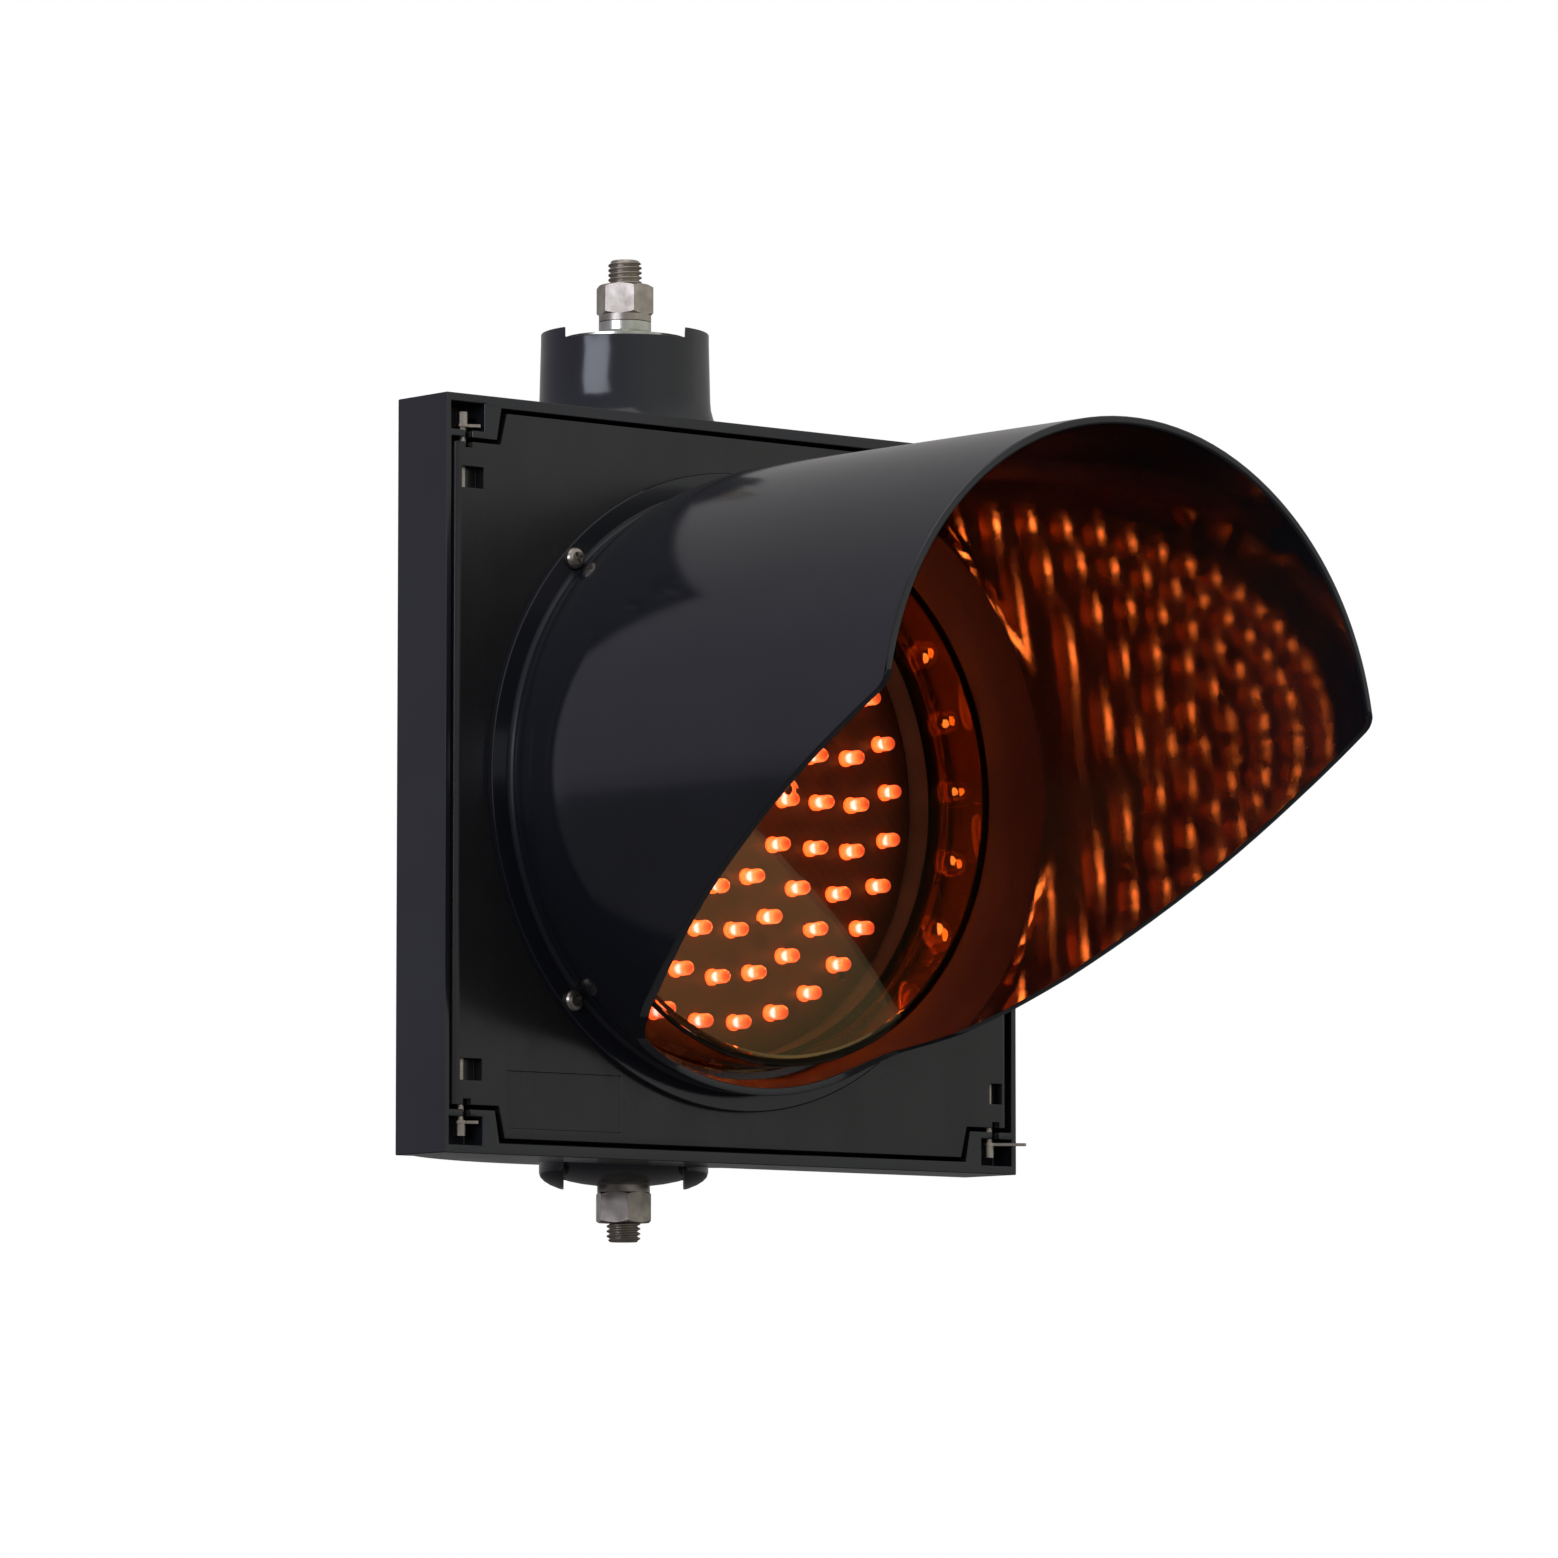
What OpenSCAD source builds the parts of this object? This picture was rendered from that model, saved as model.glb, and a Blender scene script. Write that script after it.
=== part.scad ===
// Single-aspect traffic signal head, 200 mm class, on a vertical mounting stud.
// Millimetres, +Z up. The lit face looks along -Y.
// The origin lies on the stud's axis, half way up the housing.

/* [Housing] */
// Width and height of the square front
head_w = 260; // [258:1:280]
// Distance from the stud's axis forward to the front face
setback = 63; // [63:1:70]
// Depth of the square rim that surrounds the door
rim_depth = 27; // [26:0.5:30]
// Thickness of the rim's left and right walls
rim_side_t = 2.2; // [2:0.1:2.4]
// Thickness of the rim's top and bottom walls
rim_top_t = 4; // [3.5:0.1:4.4]
// Radius of the rounded back, seen from above
back_r = 118; // [116:1:120]
// Thickness of the moulded walls
wall = 3; // [2.4:0.1:3.5]

/* [Collars] */
// Radius of both collars
collar_r = 30; // [29:0.5:32]
// Height of the top collar's seat above the origin
top_seat = 164.6; // [160:0.2:170]
// Depth of the bottom collar's seat below the origin
bottom_seat = 135.4; // [135:0.1:139]
// Height of the locking lugs
lug_h = 3.6; // [2:0.1:4]
// Direction of the gap between the lugs, in degrees from the front
lug_turn = 39; // [0:1:90]

/* [Stud] */
// Diameter of the mounting stud
stud_d = 12; // [10:0.5:12]
// Top end of the stud above the origin
stud_top = 194.8; // [192:0.2:205]
// Bottom end of the stud below the origin
stud_bottom = 155.4; // [155:0.2:165]
// Width of the hex nuts across their flats
nut_af = 18; // [17:0.5:19]

/* [Door] */
// Gap between the door and the rim
door_gap = 1.5; // [1:0.1:1.6]
// Thickness of the door's front plate
door_t = 3; // [2.5:0.1:3]
// Radius of the opening for the lens
opening_r = 98; // [97.6:0.1:98.4]

/* [Corner pins] */
// Distance of the pins' axes from the sides of the housing
pin_inset = 9.7; // [9.5:0.1:10]
// Distance of the pins' axes behind the front face
pin_setback = 4.1; // [4:0.1:4.3]
// Diameter of the pins
pin_d = 3; // [2.6:0.1:3]
// Length of the latch pins' levers
lever_l = 13.6; // [12:0.1:14]

/* [Visor] */
// Length of the visor in front of the door
visor_l = 205; // [180:1:230]
// Outer radius of the visor's tube
visor_r = 111.6; // [111:0.1:112]
// Outer radius of the visor's flange
flange_r = 112; // [111.8:0.1:113]
// Thickness of the visor's wall
visor_t = 2.8; // [2.4:0.1:3]
// Radius of the circle of visor screws
screw_circle_r = 107.9; // [107.7:0.1:108.2]

/* [Lens and LEDs] */
// Outer radius of the lens
lens_r = 97; // [96:0.1:97]
// Height of the lens in front of the door
lens_h = 25; // [20:0.5:28]
// Number of LED rings round the centre LED
led_rings = 5; // [1:1:5]
// Distance between two rings of LEDs
led_pitch = 16; // [12:0.1:16.2]
// Diameter of one LED
led_d = 5; // [4:0.5:5]

/* [Hidden] */

$fn = 96;
half = head_w / 2;
front_y = -setback;
run_fit = 0.05;        // radial clearance of everything that turns
e = 0.01;              // overlap that makes a cut go right through

// Housing behind the rim
rim_back_y = front_y + rim_depth;
shoulder_y = rim_back_y - wall;
body_h = half - 4;                   // half height of the rounded back
plan_y = front_y - 1;                // centre of the rounded back
opening_w = 111.2;                   // half width of the opening in the shoulder
opening_h = 109;                     // half height of the opening in the shoulder
seal_w = 117.5;                      // outer half width of the seal
seal_h = 112;                        // outer half height of the seal
seal_t = 3;
seal_y = front_y + 13;               // front of the seal lip
gasket_t = 2;

// Collars and the hardware stacked on them
flare_r = 18;
end_wall = 6;
collar_bore_r = stud_d / 2 + run_fit + 0.02;
cavity_r = 24;
lug_inner_r = 22.5;
lug_gap_w = 42.4;
dome_h = 8.6;                        // height of the whole ellipse behind the domed end
dome_flat = 19.5;                    // angle on that ellipse at which the end turns flat
flat_washer_t = 2;
dished_t = 6.1;
dished_r = 13.4;
cone_h = 2.6;                        // height at which the dished washer's cone ends
spring_r = 9.35;
spring_t = 2.4;
nut_h = 10.8;
top_nut_turn = 8.4;
groove_w = 0.6;
top_flat_z = top_seat + flat_washer_t;
top_spring_z = top_flat_z + dished_t;
top_nut_z = top_spring_z + spring_t;
bottom_nut_z = -bottom_seat - spring_t - nut_h;

// Corner blocks and pins
block_w = 22;
block_slant = 2.7;
block_h = 15;
block_d = 13;
pocket_in = 2;
pocket_w = 14.5;
pocket_top = 3;
pocket_h = 9.5;
pocket_d = 10;
pin_r = pin_d / 2;
pin_x = half - pin_inset;
pin_y = front_y + pin_setback;
pocket_floor = half - pocket_top - pocket_h;
lever_t = 1;
lever_gap = 1.3;
hinge_lever_l = 6.6;
head_r = 2.1;
head_h = 5.2;

// Door
door_w = half - rim_side_t - door_gap;
door_h = half - rim_top_t - door_gap;
notch_z = half - block_h - door_gap;
notch_x = half - block_w - door_gap;
door_back_y = front_y + door_t;
knuckle_l = 19.5;
knuckle_w = 13.3;
knuckle_d = 8.2;
window_h = 7.3;
window_drop = 8.5;
window_d = 4.6;
hinge_window = 6.5;                  // reach of the window inward of the pin
latch_window = 2.8;
edge_r = 2.8;                        // rounding of the door's left and right edges
pin_end_z = notch_z - window_drop - window_h - 2;
boss_r = 4;
boss_l = 9;
screw_r = 2;
clip_circle_r = 109;
clip_angles = [20, 160, 200, 340];
screw_angles = [45, 135, 225, 315];

// Visor profile: length is measured forward from the door's front face
flange_t = 2.6;
fillet = 2;
bell_l = 45;                         // length over which the neck swells
bell_r = 110;
lip_l = 13;                          // length of the ring left at the bottom

// Lens, module and boards, from front to back
lens_t = 3;
rim_gasket_t = 1.5;
lens_flange_y = door_back_y + rim_gasket_t;
lens_flange_t = 2;
lens_flange_r = 102.3;
cup_y = lens_flange_y + lens_flange_t;
cup_flange_t = 2.5;
cup_flange_r = 102.8;
board_y = front_y + 16;
board_t = 1.6;
board_r = 92.6;
led_l = 9.2;
outer_ring = 5;                      // the ring that holds one LED less than six per step
outer_ring_turn = 3.9;
cup_back_y = front_y + 35.5;
driver_y = board_y + board_t + 3;
part_h = 10;                         // height of the parts on the driver board
terminal_y = 26;
terminal_z = -56;
gland_z = -95;
cable_r = 4;

// A box between two corners.
module block(a, b) {
    translate(a) cube([b[0] - a[0], b[1] - a[1], b[2] - a[2]]);
}

// A cylinder along Y from depth y0 to depth y1.
module rod_y(x, z, r, y0, y1) {
    translate([x, y0, z]) rotate([-90, 0, 0]) cylinder(r = r, h = y1 - y0);
}

// Turns a profile drawn as [radius, forward distance] about the door's axis.
module turned_forward() {
    translate([0, front_y, 0]) rotate([90, 0, 0]) rotate_extrude($fn = 180) children();
}

// Puts a shape drawn for the upper right corner into the corner (sx, sz).
module corner(sx, sz) {
    mirror([sx < 0 ? 1 : 0, 0, 0]) mirror([0, 0, sz < 0 ? 1 : 0]) children();
}

// Outline of the rounded back, seen from above.
module body_plan(r, y0) {
    intersection() {
        translate([0, plan_y]) circle(r = r, $fn = 200);
        translate([-half, y0]) square([head_w, head_w]);
    }
}

// The two sides that the locking lugs fill, with a straight gap between them.
module lug_sides() {
    reach = collar_r + 1;
    rotate([0, 0, -lug_turn]) for (turn = [0, 180]) rotate([0, 0, turn])
        block([lug_gap_w / 2, -reach, -2 * half], [reach, reach, 2 * half]);
}

module top_collar() {
    flare = [for (a = [270:-10:180])
        [collar_r + 0.5 + flare_r + flare_r * cos(a), body_h + flare_r + flare_r * sin(a)]];
    intersection() {
        rotate_extrude() polygon(concat([[0, body_h - wall], [collar_r + 0.5 + flare_r, body_h - wall]],
            flare, [[collar_r, top_seat], [0, top_seat]]));
        linear_extrude(height = 2 * top_seat) body_plan(back_r, shoulder_y);
    }
    intersection() {
        rotate_extrude() translate([lug_inner_r, top_seat - e])
            square([collar_r - lug_inner_r, lug_h + e]);
        lug_sides();
    }
}

module domed_end(drop) {
    rotate_extrude() polygon(concat([[0, -body_h + wall], [collar_r, -body_h + wall]],
        [for (t = [90, 80, 70, 60, 50, 40, 30, dome_flat])
            [collar_r * sin(t), -bottom_seat - drop + dome_h * (cos(dome_flat) - cos(t))]],
        [[0, -bottom_seat - drop]]));
}

module bottom_collar() {
    domed_end(0);
    intersection() {
        difference() {
            domed_end(lug_h);
            translate([0, 0, -2 * half]) cylinder(r = lug_inner_r, h = 2 * half);
        }
        lug_sides();
    }
}

// Solid corner block of the rim, with its slanted inner side.
module corner_block() {
    translate([0, front_y + block_d, 0]) rotate([90, 0, 0]) linear_extrude(height = block_d)
        polygon([[half - block_w, half - block_h], [half - block_w - block_slant, half - e],
            [half - e, half - e], [half - e, half - block_h]]);
}

// The open pocket in a corner block, and the slot that the pin stands in.
module corner_pocket() {
    block([half - pocket_in - pocket_w, front_y - 1, pocket_floor],
        [half - pocket_in, front_y + pocket_d, half - pocket_top]);
    slot_r = pin_r + run_fit;
    translate([pin_x, pin_y, half - block_h - 1]) cylinder(r = slot_r, h = block_h / 2, $fn = 48);
    block([pin_x - slot_r, front_y - 1, half - block_h - 1],
        [pin_x + slot_r, pin_y, half - block_h / 2 - 1]);
}

module seal_ring(y0, y1) {
    difference() {
        block([-seal_w, y0, -seal_h], [seal_w, y1, seal_h]);
        block([-seal_w + seal_t, y0 - 1, -seal_h + seal_t], [seal_w - seal_t, y1 + 1, seal_h - seal_t]);
    }
}

module rear_housing() {
    color("#24252a") difference() {
        union() {
            difference() {
                block([-half, front_y, -half], [half, rim_back_y, half]);
                block([-half + rim_side_t, front_y - 1, -half + rim_top_t],
                    [half - rim_side_t, shoulder_y, half - rim_top_t]);
            }
            for (sx = [-1, 1], sz = [-1, 1]) corner(sx, sz) corner_block();
            seal_ring(seal_y, shoulder_y + e);
            linear_extrude(height = 2 * body_h, center = true) body_plan(back_r, shoulder_y);
            top_collar();
            bottom_collar();
            intersection() {
                rod_y(0, gland_z, 15, 20, back_r + plan_y + 2);
                block([-half, 0, -half], [half, half, 0]);
            }
        }
        for (sx = [-1, 1], sz = [-1, 1]) corner(sx, sz) corner_pocket();
        block([-opening_w, shoulder_y - 1, -opening_h], [opening_w, rim_back_y + e, opening_h]);
        difference() {
            linear_extrude(height = 2 * (body_h - wall), center = true)
                body_plan(back_r - wall, rim_back_y);
            rod_y(0, gland_z, 15, back_r + plan_y - 8, half);
            for (s = [-1, 1]) rod_y(s * 25, terminal_z, 5, terminal_y + 14, half);
        }
        translate([0, 0, body_h - wall - 1])
            cylinder(r = cavity_r, h = top_seat - end_wall - body_h + wall + 1);
        translate([0, 0, -bottom_seat + end_wall])
            cylinder(r = cavity_r, h = bottom_seat - end_wall - body_h + wall + 1);
        translate([0, 0, -2 * half]) cylinder(r = collar_bore_r, h = 4 * half);
        rod_y(0, gland_z, 8, 30, half);
        for (s = [-1, 1]) rod_y(s * 25, terminal_z, 1.6, terminal_y, terminal_y + 20);
    }
}

module door_gasket() {
    color("#303030") seal_ring(seal_y - gasket_t, seal_y);
}

// Door outline drawn inward by d, with a notch round each corner block.
module door_outline(d) {
    w = door_w - d;
    h = door_h - d;
    nx = notch_x - d;
    nz = notch_z - d;
    s = block_slant;
    polygon([[-nx, nz], [-nx + s, h], [nx - s, h], [nx, nz], [w, nz], [w, -nz],
        [nx, -nz], [nx - s, -h], [-nx + s, -h], [-nx, -nz], [-w, -nz], [-w, nz]]);
}

module door_plate(d, y0, y1) {
    translate([0, y1, 0]) rotate([90, 0, 0]) linear_extrude(height = y1 - y0) door_outline(d);
}

// Everything cut out for one pin, drawn for the upper right corner.
module knuckle_cuts(reach) {
    r = pin_r + run_fit;
    translate([pin_x, pin_y, notch_z - knuckle_l]) cylinder(r = r, h = knuckle_l + 1, $fn = 48);
    block([pin_x - r, front_y - 1, notch_z - 2], [pin_x + r, pin_y, notch_z + 1]);
    block([pin_x - reach, front_y - 1, notch_z - window_drop - window_h],
        [pin_x + 3, front_y + window_d, notch_z - window_drop]);
}

// What the rounding takes off the door's right edge.
module edge_waste() {
    difference() {
        block([door_w - edge_r, front_y - 1, -half], [door_w + 1, front_y + edge_r, half]);
        translate([door_w - edge_r, front_y + edge_r, -half - 1]) cylinder(r = edge_r, h = head_w + 2);
    }
}

module front_door() {
    color("#2b2c2e") difference() {
        union() {
            door_plate(0, front_y, door_back_y);
            difference() {
                door_plate(0, front_y + 1, front_y + knuckle_d);
                door_plate(2.2, front_y, front_y + knuckle_d + 1);
            }
            for (sx = [-1, 1], sz = [-1, 1]) corner(sx, sz)
                block([door_w - knuckle_w, front_y + 1, notch_z - knuckle_l],
                    [door_w, front_y + knuckle_d, notch_z]);
            seal_ring(door_back_y - 1, seal_y - gasket_t);
            for (a = screw_angles) rotate([0, a, 0])
                rod_y(screw_circle_r, 0, boss_r, door_back_y - 1, door_back_y + boss_l);
            for (a = clip_angles) rotate([0, a, 0])
                rod_y(clip_circle_r, 0, boss_r, door_back_y - 1, cup_y + cup_flange_t);
        }
        rod_y(0, 0, opening_r, front_y - 1, door_back_y + 1);
        for (sx = [-1, 1], sz = [-1, 1]) corner(sx, sz)
            knuckle_cuts(sx < 0 ? hinge_window : latch_window);
        for (sx = [-1, 1]) corner(sx, 1) edge_waste();
        for (a = screw_angles) rotate([0, a, 0])
            rod_y(screw_circle_r, 0, screw_r + run_fit, front_y - 1, door_back_y + boss_l - 1);
        for (a = clip_angles) rotate([0, a, 0])
            rod_y(clip_circle_r, 0, 1.55, door_back_y, cup_y + cup_flange_t + 1);
        block([-102.7, front_y - 1, -120.8], [-52.6, front_y + 0.5, -101.3]);
    }
}

// Radius of the visor's outer surface at distance l in front of the door.
function bell(l) = l > bell_l ? visor_r : visor_r - bell_r + sqrt(pow(bell_r, 2) - pow(bell_l - l, 2));

module visor_profile() {
    foot = bell(flange_t + fillet);
    polygon(concat([[flange_r, 0], [flange_r, flange_t - 0.2], [flange_r - 0.2, flange_t]],
        [for (a = [270:-15:180]) [foot + fillet + fillet * cos(a), flange_t + fillet + fillet * sin(a)]],
        [for (l = [10:5:bell_l]) [bell(l), l]],
        [[visor_r, visor_l - 0.5], [visor_r - 0.5, visor_l]],
        [[visor_r - visor_t + 0.5, visor_l], [visor_r - visor_t, visor_l - 0.5]],
        [for (l = [bell_l:-5:5]) [bell(l) - visor_t, l]],
        [[bell(3) - visor_t, 0]]));
}

// Side view of what is cut away under the visor, as [forward distance, height].
module visor_cut() {
    tip_z = 20.2;
    polygon(concat([[lip_l, -half], [lip_l, -98]],
        [for (a = [180:-15:120]) [lip_l + 10 + 10 * cos(a), -98 + 10 * sin(a)]],
        [[35, -83.5], [52, -75.5], [72, -64.8], [130, -30], [168, -6.5]],
        [for (a = [-60:15:0]) [visor_l - 8 + 8 * cos(a) + e, tip_z + 8 * sin(a)]],
        [[visor_l + 10, tip_z], [visor_l + 10, -half]]));
}

module visor() {
    color("#2a2b33") difference() {
        turned_forward() visor_profile();
        translate([-half, front_y, 0]) rotate([90, 0, 90]) linear_extrude(height = head_w)
            mirror([1, 0]) visor_cut();
        for (a = screw_angles) rotate([0, a, 0]) {
            rod_y(screw_circle_r, 0, screw_r + 0.2, front_y - 10, front_y + 1);
            rod_y(screw_circle_r, 0, 3.9, front_y - flange_t - 3, front_y - flange_t);
        }
    }
}

// Pan-head screw with a cross recess, its head towards -Y and seated at y = 0.
module pan_screw(r, head_d, head_h, length) {
    difference() {
        union() {
            rotate([90, 0, 0]) rotate_extrude($fn = 48)
                polygon([[0, 0], [head_d / 2, 0], [head_d / 2, head_h * 0.45],
                    [head_d * 0.44, head_h * 0.75], [head_d * 0.3, head_h * 0.95], [0, head_h]]);
            rod_y(0, 0, r, -0.1, length);
        }
        for (t = [0, 90]) rotate([0, t, 0])
            block([-head_d * 0.28, -head_h - 1, -head_d * 0.06],
                [head_d * 0.28, -head_h * 0.45, head_d * 0.06]);
    }
}

module visor_screws() {
    color("silver") for (a = screw_angles) rotate([0, a, 0])
        translate([screw_circle_r, front_y - flange_t, 0]) rotate([0, a * 2 + 20, 0])
            pan_screw(screw_r, 7.4, 2.6, flange_t + door_t + boss_l - 3);
}

module lens() {
    edge = lens_h - 2;
    back = -(door_t + rim_gasket_t + lens_flange_t);
    color("orange", 0.6) turned_forward() difference() {
        polygon(concat([[0, lens_h + 2]],
            [for (i = [1:6]) [i * (lens_r - 3) / 6, lens_h + 2 - 2 * pow(i / 6, 2)]],
            [for (a = [75:-15:0]) [lens_r - 3 + 3 * cos(a), edge - 1 + 3 * sin(a)]],
            [[lens_r, back + lens_flange_t], [lens_flange_r, back + lens_flange_t],
            [lens_flange_r, back], [0, back]]));
        polygon([[-1, back - 1], [-1, lens_h + 2 - lens_t], [lens_r * 0.5, lens_h + 1.5 - lens_t],
            [lens_r - lens_t - 1, lens_h - lens_t], [lens_r - lens_t, lens_h - lens_t - 1],
            [lens_r - lens_t, back - 1]]);
    }
}

module lens_gasket() {
    color("#202020") difference() {
        rod_y(0, 0, lens_flange_r, door_back_y, lens_flange_y);
        rod_y(0, 0, opening_r + 0.4, door_back_y - 1, lens_flange_y + 1);
    }
}

// Positions of the LEDs: one in the centre and 6, 12, 18, 24 and 29 round it.
function ring_count(n) = n == outer_ring ? 6 * n - 1 : 6 * n;
function ring_angle(n, k) = 360 * k / ring_count(n) + (n == outer_ring ? outer_ring_turn : 0);
led_places = concat([[0, 0]], [for (n = [1:led_rings]) for (k = [0:ring_count(n) - 1])
    [n * led_pitch * cos(ring_angle(n, k)), n * led_pitch * sin(ring_angle(n, k))]]);

module led_board() {
    color("#3a2a18") difference() {
        rod_y(0, 0, board_r, board_y, board_y + board_t);
        for (a = screw_angles) rotate([0, a, 0]) rod_y(86, 0, 1.7, board_y - 1, board_y + board_t + 1);
    }
}

module leds() {
    r = led_d / 2;
    color("orange") for (p = led_places) translate([p[0], board_y, p[1]]) rotate([90, 0, 0])
        rotate_extrude($fn = 24) polygon(concat([[0, 0], [r + 0.4, 0], [r + 0.4, 1], [r, 1]],
            [for (a = [0:15:90]) [r * cos(a), led_l - r + r * sin(a)]]));
}

// Rear shell of the LED module, a turned cup with a grommet hole.
module module_cup() {
    y0 = -(cup_y - front_y);
    y1 = -(cup_back_y - front_y);
    ledge = -(board_y + board_t - front_y);
    color("#1f1f1f") difference() {
        union() {
            turned_forward() polygon([[cup_flange_r, y0], [cup_flange_r, y0 - cup_flange_t],
                [96, y0 - cup_flange_t], [96, -24], [78, y1 + 4], [74, y1], [0, y1], [0, y1 + 2.5],
                [73, y1 + 2.5], [88, -23], [88, ledge], [93, ledge], [93, y0]]);
            for (s = [-1, 1], t = [-1, 1]) rod_y(s * 40, t * 25, 3, driver_y + 2, cup_back_y - 1);
        }
        rod_y(-55, -20, 6, cup_back_y - 5, cup_back_y + 5);
    }
}

module driver_board() {
    color("darkgreen") difference() {
        block([-46, driver_y, -31], [46, driver_y + board_t, 31]);
        for (s = [-1, 1], t = [-1, 1]) rod_y(s * 40, t * 25, 1.6, driver_y - 1, driver_y + 3);
    }
}

module board_spacers() {
    color("white") for (s = [-1, 1], t = [-1, 1]) difference() {
        rod_y(s * 40, t * 25, 3, board_y + board_t, driver_y);
        rod_y(s * 40, t * 25, 1.6, board_y, driver_y + 1);
    }
}

module driver_transformer() {
    y = driver_y + board_t;
    color("goldenrod") {
        block([6, y, -14], [34, y + 3, 14]);
        block([10, y + 2.9, -10], [30, y + part_h, 10]);
    }
}

module driver_capacitors() {
    y = driver_y + board_t;
    color("midnightblue") for (z = [-14, 4]) rod_y(-20, z, 6, y, y + part_h);
}

module module_clips() {
    y = cup_y + cup_flange_t;
    color("#1c1c1c") for (a = clip_angles) rotate([0, a, 0]) difference() {
        block([98, y, -7], [clip_circle_r + 4, y + 2.4, 7]);
        rod_y(clip_circle_r, 0, 1.8, y - 1, y + 4);
    }
}

module clip_screws() {
    y = cup_y + cup_flange_t + 2.4;
    color("silver") for (a = clip_angles) rotate([0, a, 0]) translate([clip_circle_r, y, 0])
        rotate([0, 0, 180]) pan_screw(1.5, 6, 2, 7);
}

module lead_grommet() {
    color("#151515") difference() {
        union() {
            rod_y(-55, -20, 5.9, cup_back_y - 3.5, cup_back_y + 1.5);
            rod_y(-55, -20, 8, cup_back_y, cup_back_y + 2.5);
        }
        rod_y(-55, -20, 3, cup_back_y - 5, cup_back_y + 5);
    }
}

// A quarter bend from pointing back (+Y) to pointing left (-X), bend radius b.
module bend(x, y, z, r, b) {
    translate([x - b, y, z]) rotate_extrude(angle = 90) translate([b, 0]) circle(r = r);
}

// Two-core lead out of the module, with its plug half.
module module_lead() {
    y = cup_back_y + 5;
    color("#111111") {
        rod_y(-55, -20, 2.95, cup_back_y - 6, y);
        bend(-55, y, -20, 2.95, 6);
        translate([-61, y + 6, -20]) rotate([0, -90, 0]) cylinder(r = 2.95, h = 14);
        block([-88, y, -26], [-74, y + 12, -14]);
    }
}

module terminal_block() {
    y1 = terminal_y + 14;
    color("ivory") difference() {
        union() {
            block([-32, terminal_y + 4, terminal_z - 10], [32, y1, terminal_z + 10]);
            for (x = [-20:10:20]) block([x - 1, terminal_y, terminal_z - 10], [x + 1, y1, terminal_z + 10]);
        }
        for (x = [-15:10:15]) rod_y(x, terminal_z + 4, 2.6, terminal_y, terminal_y + 10);
        for (s = [-1, 1]) rod_y(s * 25, terminal_z, 1.8, terminal_y, y1 + 1);
    }
}

module terminal_screws() {
    color("silver") for (x = [-15:10:15]) difference() {
        rod_y(x, terminal_z + 4, 2.5, terminal_y + 5, terminal_y + 10);
        block([x - 3, terminal_y + 4, terminal_z + 3.6], [x + 3, terminal_y + 6, terminal_z + 4.4]);
    }
}

module block_screws() {
    color("silver") for (s = [-1, 1]) translate([s * 25, terminal_y + 4, terminal_z])
        pan_screw(1.5, 6, 2.2, 15);
}

module cable_gland() {
    y1 = back_r + plan_y + 2;
    color("#181818") difference() {
        union() {
            rod_y(0, gland_z, 7.9, y1 - 12, y1 + 1);
            rod_y(0, gland_z, 13, y1, y1 + 3);
            translate([0, y1 + 3 - e, gland_z]) rotate([-90, 0, 0])
                cylinder(r = 11, h = 9, $fn = 6);
            rod_y(0, gland_z, 8, y1 + 11, y1 + 15);
        }
        rod_y(0, gland_z, cable_r, 0, half);
    }
}

module supply_cable() {
    r = cable_r - 0.05;
    y = terminal_y + 19;
    b = 12;
    color("#101010") {
        rod_y(0, gland_z, r, y, back_r + plan_y + 45);
        translate([0, y, gland_z + b]) rotate([0, 90, 0]) rotate([0, 0, -90])
            rotate_extrude(angle = 90) translate([b, 0]) circle(r = r);
        translate([0, y - b, gland_z + b]) cylinder(r = r, h = terminal_z - 10 - gland_z - b);
    }
}

// Headed pin with a lever under its head, for the upper right corner.
module corner_pin(length, turn) {
    z0 = pocket_floor + lever_gap;
    translate([pin_x, pin_y, 0]) {
        translate([0, 0, pin_end_z]) cylinder(r = pin_r, h = z0 - pin_end_z + e, $fn = 48);
        translate([0, 0, z0]) {
            cylinder(r = head_r + 0.5, h = lever_t, $fn = 48);
            translate([0, 0, lever_t - e]) cylinder(r = head_r, h = head_h - lever_t, $fn = 48);
            rotate([0, 0, -turn]) {
                block([0, -1.2, 0], [length - 1.2, 1.2, lever_t]);
                translate([length - 1.2, 0, 0]) cylinder(r = 1.2, h = lever_t, $fn = 32);
            }
        }
    }
}

module hinge_pin_upper() {
    color("silver") corner(-1, 1) corner_pin(hinge_lever_l, 150);
}

module hinge_pin_lower() {
    color("silver") corner(-1, -1) corner_pin(hinge_lever_l, 150);
}

module latch_pin_upper() {
    color("silver") corner(1, 1) corner_pin(lever_l, 40);
}

module latch_pin_lower() {
    color("silver") corner(1, -1) corner_pin(lever_l, 40);
}

// Threaded stud. A narrow groove marks off the free end beyond each nut.
module mounting_stud() {
    r = stud_d / 2;
    groove_r = r - 0.6;
    low = bottom_nut_z - groove_w;
    high = top_nut_z + nut_h;
    color("silver") rotate_extrude() polygon([[0, -stud_bottom], [r - 1, -stud_bottom],
        [r, -stud_bottom + 1], [r, low], [groove_r, low], [groove_r, low + groove_w],
        [r, low + groove_w], [r, high], [groove_r, high], [groove_r, high + groove_w],
        [r, high + groove_w], [r, stud_top - 1], [r - 1, stud_top], [0, stud_top]]);
}

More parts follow.
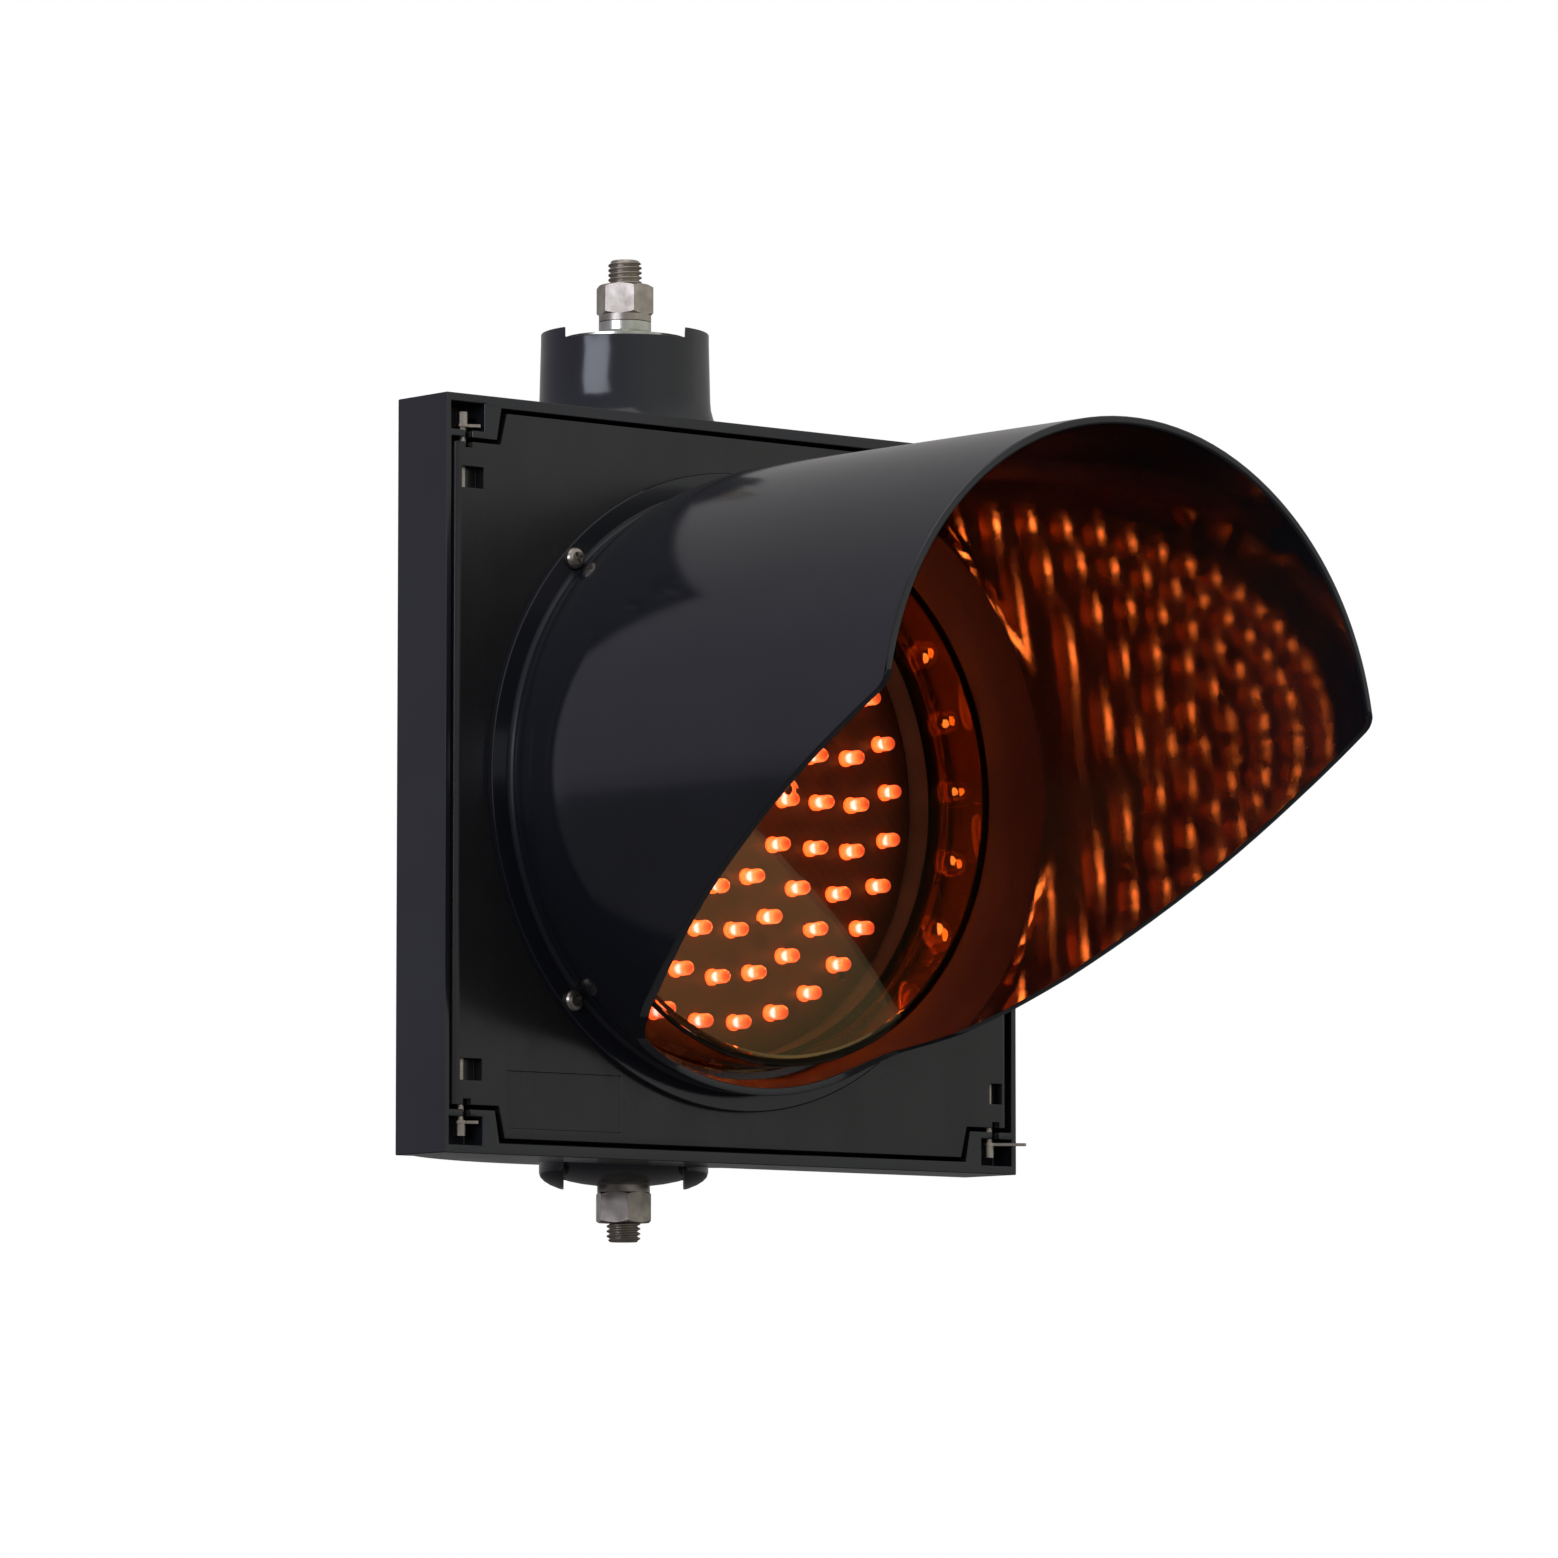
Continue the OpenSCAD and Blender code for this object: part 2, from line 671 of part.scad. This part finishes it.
module hex_nut(z, turn) {
    corner_r = nut_af / 2 / cos(30);
    cut = corner_r - nut_af / 2;
    translate([0, 0, z]) difference() {
        intersection() {
            rotate([0, 0, turn]) cylinder(r = corner_r, h = nut_h, $fn = 6);
            rotate_extrude() polygon([[0, 0], [corner_r - cut, 0], [corner_r, cut * 0.6],
                [corner_r, nut_h - cut * 0.6], [corner_r - cut, nut_h], [0, nut_h]]);
        }
        translate([0, 0, -1]) cylinder(r = stud_d / 2 + run_fit, h = nut_h + 2);
    }
}

module hex_nuts() {
    color("silver") {
        hex_nut(top_nut_z, top_nut_turn);
        hex_nut(bottom_nut_z, 0);
    }
}

module ring(r, bore, z, h) {
    translate([0, 0, z]) difference() {
        cylinder(r = r, h = h);
        translate([0, 0, -1]) cylinder(r = bore, h = h + 2);
    }
}

// Split washers: a ring with one narrow gap.
module spring_washers() {
    bore = stud_d / 2 + 0.2;
    color("silver") difference() {
        union() {
            ring(spring_r, bore, top_spring_z, spring_t);
            ring(spring_r, bore, -bottom_seat - spring_t, spring_t);
        }
        rotate([0, 0, 40]) block([0, -0.6, -half - 20], [20, 0.6, top_nut_z + 1]);
    }
}

module dished_washer() {
    color("silver") translate([0, 0, top_flat_z]) difference() {
        rotate_extrude()
            polygon([[0, 0], [dished_r, 0], [dished_r, 0.8], [spring_r + 0.3, cone_h], [spring_r, cone_h],
                [spring_r, dished_t - 0.3], [spring_r - 0.4, dished_t], [0, dished_t]]);
        translate([0, 0, -1]) cylinder(r = stud_d / 2 + 0.2, h = dished_t + 2);
    }
}

module flat_washer() {
    color("silver") ring(22, stud_d / 2 + 0.25, top_seat, flat_washer_t);
}

rear_housing();
door_gasket();
hinge_pin_upper();
hinge_pin_lower();
terminal_block();
terminal_screws();
block_screws();
cable_gland();
supply_cable();
front_door();
visor();
visor_screws();
lens();
lens_gasket();
led_board();
leds();
module_cup();
driver_board();
board_spacers();
driver_transformer();
driver_capacitors();
module_clips();
clip_screws();
lead_grommet();
module_lead();
latch_pin_upper();
latch_pin_lower();
mounting_stud();
hex_nuts();
spring_washers();
dished_washer();
flat_washer();
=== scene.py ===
"""Looks of a single-aspect amber traffic signal head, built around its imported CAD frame."""

import math

import bpy
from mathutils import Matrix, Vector


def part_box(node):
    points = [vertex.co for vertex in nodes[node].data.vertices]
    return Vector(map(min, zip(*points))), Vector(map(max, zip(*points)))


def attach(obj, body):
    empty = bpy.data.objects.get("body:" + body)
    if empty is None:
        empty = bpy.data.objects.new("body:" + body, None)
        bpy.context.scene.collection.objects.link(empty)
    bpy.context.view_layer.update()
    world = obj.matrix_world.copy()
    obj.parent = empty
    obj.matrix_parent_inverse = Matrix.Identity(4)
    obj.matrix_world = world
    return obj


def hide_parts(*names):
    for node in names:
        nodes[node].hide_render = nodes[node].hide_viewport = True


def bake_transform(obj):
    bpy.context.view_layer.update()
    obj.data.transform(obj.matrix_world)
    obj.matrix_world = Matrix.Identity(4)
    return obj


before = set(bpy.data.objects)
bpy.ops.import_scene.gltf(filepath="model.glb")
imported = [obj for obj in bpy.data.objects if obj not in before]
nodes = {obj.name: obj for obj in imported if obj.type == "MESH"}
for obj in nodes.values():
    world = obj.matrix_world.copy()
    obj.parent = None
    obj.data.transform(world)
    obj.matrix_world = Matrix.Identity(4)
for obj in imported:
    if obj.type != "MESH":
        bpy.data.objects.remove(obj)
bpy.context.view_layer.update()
scene = bpy.context.scene
MM = 0.001
BACKDROP = Vector((0.63, 0.77, 0.55))      # from the object towards the middle of the screen behind it
RIGHT = Vector((0.774, -0.633, 0.0))       # about sideways, as the camera sees it
UP = Vector((0, 0, 1))
WHITE = (1.0, 1.0, 1.0)


# ---------------------------------------------------------------- materials

class Nodes:
    """Short calls for building one node tree."""

    def __init__(self, owner):
        owner.use_nodes = True
        self.owner = owner
        self.tree = owner.node_tree

    def add(self, kind, **values):
        """New shader node. A value goes to the input of that name, or else to the node's setting."""
        node = self.tree.nodes.new("ShaderNode" + kind)
        for key, value in values.items():
            if key in node.inputs:
                self.feed(node.inputs[key], value)
            else:
                setattr(node, key, value)
        return node

    def feed(self, socket, value):
        """Links a socket, or sets a number, vector or colour."""
        if isinstance(value, bpy.types.NodeSocket):
            self.tree.links.new(value, socket)
        elif hasattr(value, "__len__") and len(value) == 3 and len(socket.default_value) == 4:
            socket.default_value = (*value, 1)
        else:
            socket.default_value = value

    def math(self, op, a, b=0.0):
        node = self.add("Math", operation=op)
        self.feed(node.inputs[0], a)
        self.feed(node.inputs[1], b)
        return node.outputs["Value"]

    def between(self, kind, fac, a, b, sockets, result):
        """Mix node of one kind, whose sockets for a and b and whose result go by number."""
        node = self.add("Mix", data_type=kind)
        for index, value in zip((0, *sockets), (fac, a, b)):
            self.feed(node.inputs[index], value)
        return node.outputs[result]

    def mix(self, fac, a, b):
        """Number between a and b."""
        return self.between("FLOAT", fac, a, b, (2, 3), 0)

    def blend(self, fac, a, b):
        """Colour between a and b."""
        return self.between("RGBA", fac, a, b, (6, 7), 2)

    def ramp(self, fac, low, high, at=(0.35, 0.65)):
        """Colour or grey between low and high while fac crosses the two stops."""
        node = self.add("ValToRGB", Fac=fac)
        for stop, value, place in zip(node.color_ramp.elements, (low, high), at):
            stop.position = place
            stop.color = (*value, 1) if hasattr(value, "__len__") else (value, value, value, 1)
        return node.outputs["Color"]

    def steps(self, fac, *stops):
        """Colour ramp with any number of (place, colour) stops."""
        node = self.add("ValToRGB", Fac=fac)
        elements = node.color_ramp.elements
        while len(elements) < len(stops):
            elements.new(0.5)
        for stop, (place, colour) in zip(elements, stops):
            stop.position = place
            stop.color = (*colour, 1)
        return node.outputs["Color"]


class Finish(Nodes):
    """One material with a Principled shader."""

    def __init__(self, name):
        super().__init__(bpy.data.materials.new(name))
        self.bsdf = self.tree.nodes["Principled BSDF"]
        self.out = self.tree.nodes["Material Output"]

    def set(self, **values):
        for key, value in values.items():
            self.feed(self.bsdf.inputs[key.replace("_", " ")], value)

    def noise(self, size_mm, detail=2.0, stretch=(1, 1, 1)):
        """Noise in the object's own space, with marks of about size_mm."""
        where = self.add("TexCoord").outputs["Object"]
        scaled = self.add("Mapping", Vector=where, Scale=[s / MM for s in stretch])
        node = self.add("TexNoise", Vector=scaled.outputs["Vector"], Scale=1 / size_mm, Detail=detail)
        return node.outputs["Fac"]

    def bump(self, *layers):
        """Stacks (height, strength, depth in mm) layers into the normal."""
        last = None
        for height, strength, depth in layers:
            node = self.add("Bump", Strength=strength, Distance=depth * MM, Height=height)
            if last:
                self.feed(node.inputs["Normal"], last)
            last = node.outputs["Normal"]
        self.set(Normal=last)


def plastic(name, dark, light, rough, grain, shine=0.5):
    """Moulded plastic: slow colour drift, uneven gloss, fine grain and faint sink waves."""
    m = Finish(name)
    m.set(Base_Color=m.ramp(m.noise(45, 3), dark, light), IOR=1.55, Specular_IOR_Level=shine)
    m.set(Roughness=m.ramp(m.noise(16, 4, (1, 1, 0.4)), rough * 0.85, rough * 1.15))
    m.bump((m.noise(55, 1), 0.03, 1.0), (m.noise(0.45, 2), grain, 0.03))
    return m.owner


def visor_plastic():
    """Smooth plastic: glossy outside, dull in the neck and on the foot's fillet, streaky in the tube."""
    glossy, dull, drawn = 0.13, 0.38, 0.075                 # roughness of the three zones
    shine, fillet_shine, neck_shine = 0.5, 0.3, 0.06        # their specular levels
    tube_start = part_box("lens")[0].y - 12 * MM
    fillet_ahead, fillet_reach = 3.9 * MM, 1.2 * MM         # middle, ahead of the door, and half width

    m = Finish("visor_black")
    m.set(Base_Color=m.ramp(m.noise(60, 3), (0.013, 0.014, 0.019), (0.017, 0.018, 0.024)), IOR=1.55)
    where = m.add("TexCoord").outputs
    place = m.add("SeparateXYZ", Vector=where["Object"]).outputs
    normal = m.add("SeparateXYZ", Vector=where["Normal"]).outputs
    outward = m.math("ADD", m.math("MULTIPLY", place["X"], normal["X"]),
                     m.math("MULTIPLY", place["Z"], normal["Z"]))
    inner = m.math("LESS_THAN", outward, -0.03)
    tube = m.math("MULTIPLY", inner, m.math("LESS_THAN", place["Y"], tube_start))
    ahead = m.math("SUBTRACT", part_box("front_door")[0].y, place["Y"])
    off_fillet = m.math("ABSOLUTE", m.math("SUBTRACT", ahead, fillet_ahead))
    fillet = m.math("LESS_THAN", off_fillet, fillet_reach)

    drift = m.ramp(m.noise(20, 4), 0.9, 1.1)
    rough = m.mix(tube, m.mix(m.math("MAXIMUM", inner, fillet), glossy, dull), drawn)
    m.set(Roughness=m.math("MULTIPLY", drift, rough))
    m.set(Specular_IOR_Level=m.mix(tube, m.mix(inner, m.mix(fillet, shine, fillet_shine), neck_shine), shine))
    m.set(Anisotropic=m.mix(tube, 0.0, 0.95))
    m.set(Tangent=m.add("Tangent", direction_type="RADIAL", axis="Y").outputs["Tangent"])
    ripple = m.math("MULTIPLY", tube, m.noise(5, 1, (1, 0.1, 1)))
    m.bump((m.noise(60, 1), 0.02, 1.0), (ripple, 0.5, 0.07), (m.noise(0.5, 2), 0.05, 0.02))
    return m.owner


def rubber(name, grey):
    """Dull black rubber with a fine grain."""
    m = Finish(name)
    m.set(Base_Color=m.ramp(m.noise(8, 3), grey * 0.8, grey * 1.3), IOR=1.5)
    m.set(Roughness=m.ramp(m.noise(3, 3), 0.5, 0.75))
    m.bump((m.noise(0.4, 2), 0.25, 0.05))
    return m.owner


def metal(name, dark, light, rough, stretch=(1, 1, 6), scratch=0.15):
    """Turned or drawn metal: fine marks and a little staining."""
    m = Finish(name)
    marks = m.noise(0.4, 4, stretch)
    tone = m.math("ADD", m.math("MULTIPLY", marks, 0.4), m.math("MULTIPLY", m.noise(5, 3), 0.6))
    m.set(Base_Color=m.ramp(tone, dark, light, (0.3, 0.7)), Metallic=1.0)
    m.set(Roughness=m.ramp(tone, rough * 1.35, rough * 0.8, (0.3, 0.7)))
    m.bump((marks, scratch, 0.04))
    return m.owner


def amber_lens():
    """Clear amber polycarbonate. Shadow and scattered rays pass, so the LEDs light the visor."""
    m = Finish("amber_lens")
    m.set(Base_Color=(1.0, 0.60, 0.20), Roughness=0.01, IOR=1.46, Transmission_Weight=1.0)
    m.set(Specular_Tint=(1.0, 0.92, 0.45))
    m.bump((m.noise(35, 1), 0.04, 1.0), (m.noise(4, 1), 0.01, 0.1))
    clear = m.add("BsdfTransparent", Color=(0.95, 0.55, 0.16))
    rays = m.add("LightPath").outputs
    passing = m.math("MAXIMUM", rays["Is Shadow Ray"], rays["Is Diffuse Ray"])
    mix = m.add("MixShader", Fac=passing)
    m.feed(mix.inputs[1], m.bsdf.outputs[0])
    m.feed(mix.inputs[2], clear.outputs[0])
    m.feed(m.out.inputs["Surface"], mix.outputs[0])
    return m.owner


def led_glow():
    """Lit LED: pale core in the middle of its body, deep orange at its edges."""
    hottest, fall_off = 0.48, 1.9            # where along the body, and how fast the glow fades from there
    full_side = 0.62                         # faces turned this far to the viewer glow in full
    core_heat, core_gain = 0.80, 0.7         # the core starts here, and is this much brighter
    square_on, mirrored_power = 0.90, 50.0   # a mirrored ray sees only faces square to it, but very bright
    scattered_power = 9.0
    beam_colour = (1.0, 0.30, 0.13)

    m = Finish("led_glow")
    low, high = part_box("leds")
    split = m.add("SeparateXYZ", Vector=m.add("TexCoord").outputs["Object"])
    along = m.math("DIVIDE", m.math("SUBTRACT", split.outputs["Y"], low.y), high.y - low.y)
    off_middle = m.math("ABSOLUTE", m.math("SUBTRACT", along, hottest))
    middle = m.math("SUBTRACT", 1.0, m.math("MULTIPLY", fall_off, off_middle))
    facing = m.math("SUBTRACT", 1.0, m.add("LayerWeight", Blend=0.5).outputs["Facing"])
    side = m.math("MINIMUM", m.math("DIVIDE", facing, full_side), 1.0)
    heat = m.math("MULTIPLY", side, middle)
    tone = m.steps(heat, (0.0, (0.66, 0.08, 0.05)), (0.30, (1.0, 0.21, 0.17)),
                   (0.56, (1.0, 0.36, 0.40)), (0.76, (1.0, 1.0, 2.4)))

    rays = m.add("LightPath").outputs
    mirrored = m.math("GREATER_THAN", rays["Glossy Depth"], 0.5)
    scattered = m.math("GREATER_THAN", rays["Diffuse Depth"], 0.5)
    beam = m.math("MULTIPLY", m.math("GREATER_THAN", facing, square_on), mirrored_power)
    core = m.math("ADD", 1.0, m.math("MULTIPLY", core_gain, m.math("GREATER_THAN", heat, core_heat)))
    power = m.mix(scattered, m.mix(mirrored, core, beam), scattered_power)
    m.set(Base_Color=(0.9, 0.35, 0.05), Roughness=0.2, Emission_Strength=power)
    m.set(Emission_Color=m.blend(mirrored, tone, beam_colour))
    return m.owner


def board_mask(name, dark, light):
    """Solder mask with faint tracks under it."""
    m = Finish(name)
    where = m.add("TexCoord").outputs["Object"]
    scaled = m.add("Mapping", Vector=where, Scale=[1 / MM] * 3)
    tracks = m.add("TexWave", Vector=scaled.outputs["Vector"], Scale=0.12, Distortion=3.0,
                   bands_direction="DIAGONAL").outputs["Fac"]
    m.set(Base_Color=m.ramp(tracks, dark, light, (0.45, 0.55)), Roughness=m.ramp(m.noise(5), 0.3, 0.42))
    m.set(Specular_IOR_Level=0.25)
    m.bump((tracks, 0.1, 0.03), (m.noise(0.6), 0.1, 0.03))
    return m.owner


HOUSING = plastic("housing_black", (0.015, 0.0165, 0.022), (0.020, 0.0215, 0.029), 0.15, 0.08)
DOOR = plastic("door_black", (0.017, 0.017, 0.018), (0.022, 0.022, 0.023), 0.26, 0.25)
MODULE = plastic("module_black", (0.009, 0.009, 0.009), (0.014, 0.014, 0.014), 0.5, 0.4, shine=0.08)
GLAND = plastic("gland_nylon", (0.014, 0.014, 0.015), (0.022, 0.022, 0.023), 0.42, 0.3)
NYLON = plastic("white_nylon", (0.62, 0.60, 0.54), (0.72, 0.70, 0.64), 0.45, 0.2)
COIL = plastic("coil_tape", (0.52, 0.32, 0.04), (0.66, 0.43, 0.08), 0.45, 0.3)
CAPACITOR = plastic("capacitor_sleeve", (0.012, 0.02, 0.07), (0.02, 0.03, 0.10), 0.25, 0.05)
CORE_BROWN = plastic("core_brown", (0.10, 0.035, 0.012), (0.14, 0.05, 0.018), 0.4, 0.1)
CORE_BLUE = plastic("core_blue", (0.012, 0.03, 0.16), (0.02, 0.045, 0.22), 0.4, 0.1)
SEAL = rubber("seal_rubber", 0.018)
SHEATH = rubber("cable_sheath", 0.014)
STEEL = metal("stainless", (0.36, 0.32, 0.275), (0.62, 0.56, 0.49), 0.33)
ZINC = metal("zinc_plate", (0.50, 0.50, 0.43), (0.74, 0.75, 0.69), 0.25, (1, 1, 1), 0.08)
BRASS = metal("brass", (0.55, 0.40, 0.16), (0.75, 0.58, 0.26), 0.25)

# Every node that isn't named here is stainless steel.
FINISH = {
    "rear_housing": HOUSING, "front_door": DOOR, "visor": visor_plastic(), "lens": amber_lens(),
    "leds": led_glow(), "door_gasket": SEAL, "lens_gasket": SEAL, "lead_grommet": SEAL,
    "supply_cable": SHEATH, "module_lead": SHEATH, "cable_gland": GLAND,
    "terminal_block": NYLON, "board_spacers": NYLON, "terminal_screws": BRASS,
    "module_cup": MODULE, "module_clips": MODULE,
    "led_board": board_mask("dark_board", (0.026, 0.012, 0.006), (0.031, 0.014, 0.007)),
    "driver_board": board_mask("green_board", (0.010, 0.055, 0.022), (0.02, 0.10, 0.04)),
    "driver_transformer": COIL, "driver_capacitors": CAPACITOR,
    "flat_washer": ZINC, "dished_washer": ZINC,
}

for name, obj in nodes.items():
    obj.data.materials.clear()
    obj.data.materials.append(FINISH.get(name, STEEL))


# ---------------------------------------------------------------- edges and extra pieces

def soften(name, width_mm):
    """Rounds a node's sharp edges, so that they catch the light."""
    obj = nodes[name]
    weld = obj.modifiers.new("weld", "WELD")
    weld.merge_threshold = 0.002 * MM
    bevel = obj.modifiers.new("soft_edges", "BEVEL")
    bevel.width = width_mm * MM
    bevel.segments = 2
    bevel.limit_method = "ANGLE"
    bevel.angle_limit = math.radians(40)
    bevel.use_clamp_overlap = False
    normals = obj.modifiers.new("normals", "WEIGHTED_NORMAL")
    normals.keep_sharp = False


def new_piece(name, verts, faces, material, body=None, smooth=True):
    """Mesh object, made to ride on the given body if there is one."""
    mesh = bpy.data.meshes.new(name)
    mesh.from_pydata([tuple(v) for v in verts], [], faces)
    mesh.materials.append(material)
    if smooth:
        mesh.shade_smooth()
    obj = bpy.data.objects.new(name, mesh)
    scene.collection.objects.link(obj)
    if body:
        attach(obj, body)
    return obj


def skin(rings):
    """Faces of a closed tube over rings of equal length."""
    n = len(rings[0])
    faces = [(i * n + j, i * n + (j + 1) % n, (i + 1) * n + (j + 1) % n, (i + 1) * n + j)
             for i in range(len(rings) - 1) for j in range(n)]
    return faces + [tuple(range(n - 1, -1, -1)), tuple(range((len(rings) - 1) * n, len(rings) * n))]


def thread_cut(phase):
    """Depth of the thread at a place along one pitch, from 0 at its crest to 1 at its root."""
    return min(1, max(0, 1.35 - abs(phase - 0.5) * 3.6))


def threaded_stud():
    """The stud with its coarse thread cut at both ends. Each thread ends out of sight, past its nut."""
    low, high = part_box("mounting_stud")
    nuts_low, nuts_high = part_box("hex_nuts")
    crest, depth, pitch, chamfer, seg = high.x, 1.0 * MM, 1.75 * MM, 1.2 * MM, 48
    step = pitch / 10
    top_run, bottom_run = nuts_high.z - 16 * MM, nuts_low.z + 14 * MM
    heights = [low.z + i * step for i in range(int((bottom_run - low.z) / step))]
    heights += [top_run + i * step for i in range(int((high.z - top_run) / step))] + [high.z]
    rings = []
    for z in heights:
        ring = []
        for j in range(seg):
            turn = j / seg
            cut = thread_cut((z / pitch - turn) % 1)
            r = min(crest - depth * cut, crest - chamfer + min(high.z - z, z - low.z))
            ring.append((r * math.cos(2 * math.pi * turn), r * math.sin(2 * math.pi * turn), z))
        rings.append(ring)
    stud = new_piece("threaded_stud", [v for ring in rings for v in ring], skin(rings), STEEL, "stud")
    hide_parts("mounting_stud")


def spline(points):
    """Points along a smooth curve through the given ones, which are in millimetres."""
    parts = 14
    p = [Vector(q) * MM for q in points]
    p = [p[0] * 2 - p[1]] + p + [p[-1] * 2 - p[-2]]
    out = []
    for a, b, c, d in zip(p, p[1:], p[2:], p[3:]):
        for i in range(parts):
            t = i / parts
            out.append(0.5 * (2 * b + (c - a) * t + (2 * a - 5 * b + 4 * c - d) * t * t
                              + (3 * b - a - 3 * c + d) * t ** 3))
    return out + [p[-2]]


def wire(name, points, radius, material):
    """Round wire along a smooth curve."""
    path, seg = spline(points), 12
    side = Vector((0, 1, 0.3))
    rings = []
    for i, p in enumerate(path):
        ahead = (path[min(i + 1, len(path) - 1)] - path[max(i - 1, 0)]).normalized()
        side = (side - ahead * side.dot(ahead)).normalized()
        other = ahead.cross(side)
        rings.append([p + radius * MM * (math.cos(a) * side + math.sin(a) * other)
                      for a in (2 * math.pi * j / seg for j in range(seg))])
    return new_piece(name, [v for ring in rings for v in ring], skin(rings), material)


def wiring():
    """Two loose cores from the terminal block to the module's plug, with slack for the open door."""
    block_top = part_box("terminal_block")[1].z / MM
    plug = [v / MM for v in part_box("module_lead")[0]]
    for name, shift, clamp, material in (("core_a", 0, -15, CORE_BROWN), ("core_b", 3.2, -5, CORE_BLUE)):
        x, z = plug[0] + 5 + shift, plug[2]
        points = [(clamp, 35, block_top - 1), (clamp, 34, block_top + 8), (-40, 28 - shift, -30 + shift),
                  (-70, 16 - shift, -34 + shift), (-85, 1 - shift, -50 + shift), (-93, -12, -64 + shift),
                  (-94 + shift, -22, -61 + shift), (-89 + shift, -22, -46),
                  (x, -17, z - 9), (x, -16.5, z + 0.6)]
        loop = wire(name, points, 1.3, material)
        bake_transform(loop)


def cup_ribs():
    """Stiffening ribs on the module's rear shell, all but the one where the lead comes out."""
    places, lead_place = 12, 6
    inner_r, outer_r, taper = 20, 72, 1             # millimetres, as below
    half_width, sunk, proud = 0.9, 0.4, 2.2
    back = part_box("module_cup")[1].y / MM
    outline = [(inner_r, back - sunk), (outer_r, back - sunk),
               (outer_r - taper, back + proud), (inner_r + taper, back + proud)]
    verts, faces = [], []
    for k in range(places):
        if k == lead_place:
            continue
        a = math.radians(360 / places * (k + 0.5))
        out, across = Vector((math.cos(a), 0, math.sin(a))), Vector((-math.sin(a), 0, math.cos(a)))
        b = len(verts)
        for r, y in outline:
            for s in (-half_width, half_width):
                verts.append((out * r + across * s + Vector((0, y, 0))) * MM)
        faces += [(b, b + 2, b + 4, b + 6), (b + 7, b + 5, b + 3, b + 1), (b, b + 1, b + 3, b + 2),
                  (b + 2, b + 3, b + 5, b + 4), (b + 4, b + 5, b + 7, b + 6), (b + 6, b + 7, b + 1, b)]
    ribs = new_piece("cup_ribs", verts, faces, MODULE, "door", smooth=False)


for name, width in (("rear_housing", 0.35), ("front_door", 0.2), ("visor", 0.3)):
    soften(name, width)
threaded_stud()
wiring()
cup_ribs()


# ---------------------------------------------------------------- light, floor and camera

def studio_world():
    """Grey screen behind the object, in a room that is lighter to the right and dark below the horizon.

    The camera itself sees plain white.
    """
    world = bpy.data.worlds.new("studio")
    scene.world = world
    w = Nodes(world)
    where = w.add("TexCoord").outputs["Generated"]

    def along(axis):
        """From -1 to 1, how far a ray points along an axis."""
        dot = w.add("VectorMath", operation="DOT_PRODUCT")
        w.feed(dot.inputs[0], where)
        dot.inputs[1].default_value = axis.normalized()
        return dot.outputs["Value"]

    def share(axis):
        """The same, from 0 to 1."""
        return w.math("ADD", 0.5, w.math("MULTIPLY", 0.5, along(axis)))

    room = w.steps(share(RIGHT), (0.2, (0.30, 0.29, 0.34)), (0.8, (0.56, 0.56, 0.54)))
    on_screen = w.ramp(along(BACKDROP), 0.0, 1.0, (0.45, 0.85))
    lit = w.blend(on_screen, room, (0.34, 0.33, 0.33))
    above = w.ramp(share(UP), 0.0, 1.0, (0.44, 0.53))
    seen = w.blend(above, (0.13, 0.13, 0.15), lit)
    camera_ray = w.add("LightPath").outputs["Is Camera Ray"]
    w.feed(w.tree.nodes["Background"].inputs["Color"], w.blend(camera_ray, seen, WHITE))


def floor():
    """Pale floor. Other rays see it dim, so that it does not light the object's underside."""
    size, depth, dim = 30, -1.3, 0.15
    corners = [(-size, -size, depth), (size, -size, depth), (size, size, depth), (-size, size, depth)]
    m = Finish("pale_floor")
    pale = m.ramp(m.noise(900), 0.86, 0.90)
    m.set(Base_Color=m.mix(m.add("LightPath").outputs["Is Camera Ray"], dim, pale), Roughness=0.7)
    new_piece("floor", corners, [(0, 1, 2, 3)], m.owner, smooth=False)


def softbox(name, azimuth, elevation, distance, size, radiance, color=WHITE):
    """Area light that looks at the object. Azimuth 0 is in front of the lens."""
    a, e = math.radians(azimuth), math.radians(elevation)
    data = bpy.data.lights.new(name, "AREA")
    data.shape = "RECTANGLE"
    data.size, data.size_y = size
    data.energy = radiance * math.pi * size[0] * size[1]
    data.color = color
    obj = bpy.data.objects.new(name, data)
    place = Vector((math.sin(a) * math.cos(e), -math.cos(a) * math.cos(e), math.sin(e))) * distance
    obj.location = place
    obj.rotation_euler = (-place).to_track_quat("-Z", "Y").to_euler()
    scene.collection.objects.link(obj)


def camera():
    """Long lens in front of the object, to the left of its axis and a little below its middle."""
    place, aim = Vector((-1.95108, -2.38527, -0.27215)), Vector((0.0421, -0.0354, 0.0091))
    data = bpy.data.cameras.new("camera")
    data.sensor_width = 36
    data.lens = 201.18
    data.clip_end = 200
    obj = bpy.data.objects.new("camera", data)
    obj.location = place
    obj.rotation_euler = (aim - place).to_track_quat("-Z", "Y").to_euler()
    scene.collection.objects.link(obj)
    scene.camera = obj


studio_world()
floor()
softbox("left_box", -79, 11, 2.4, (1.45, 0.6), 4.6, (0.82, 0.86, 1.0))
softbox("top_box", -60, 75, 2.4, (2.0, 2.0), 0.9)
camera()
scene.view_settings.view_transform = "Standard"
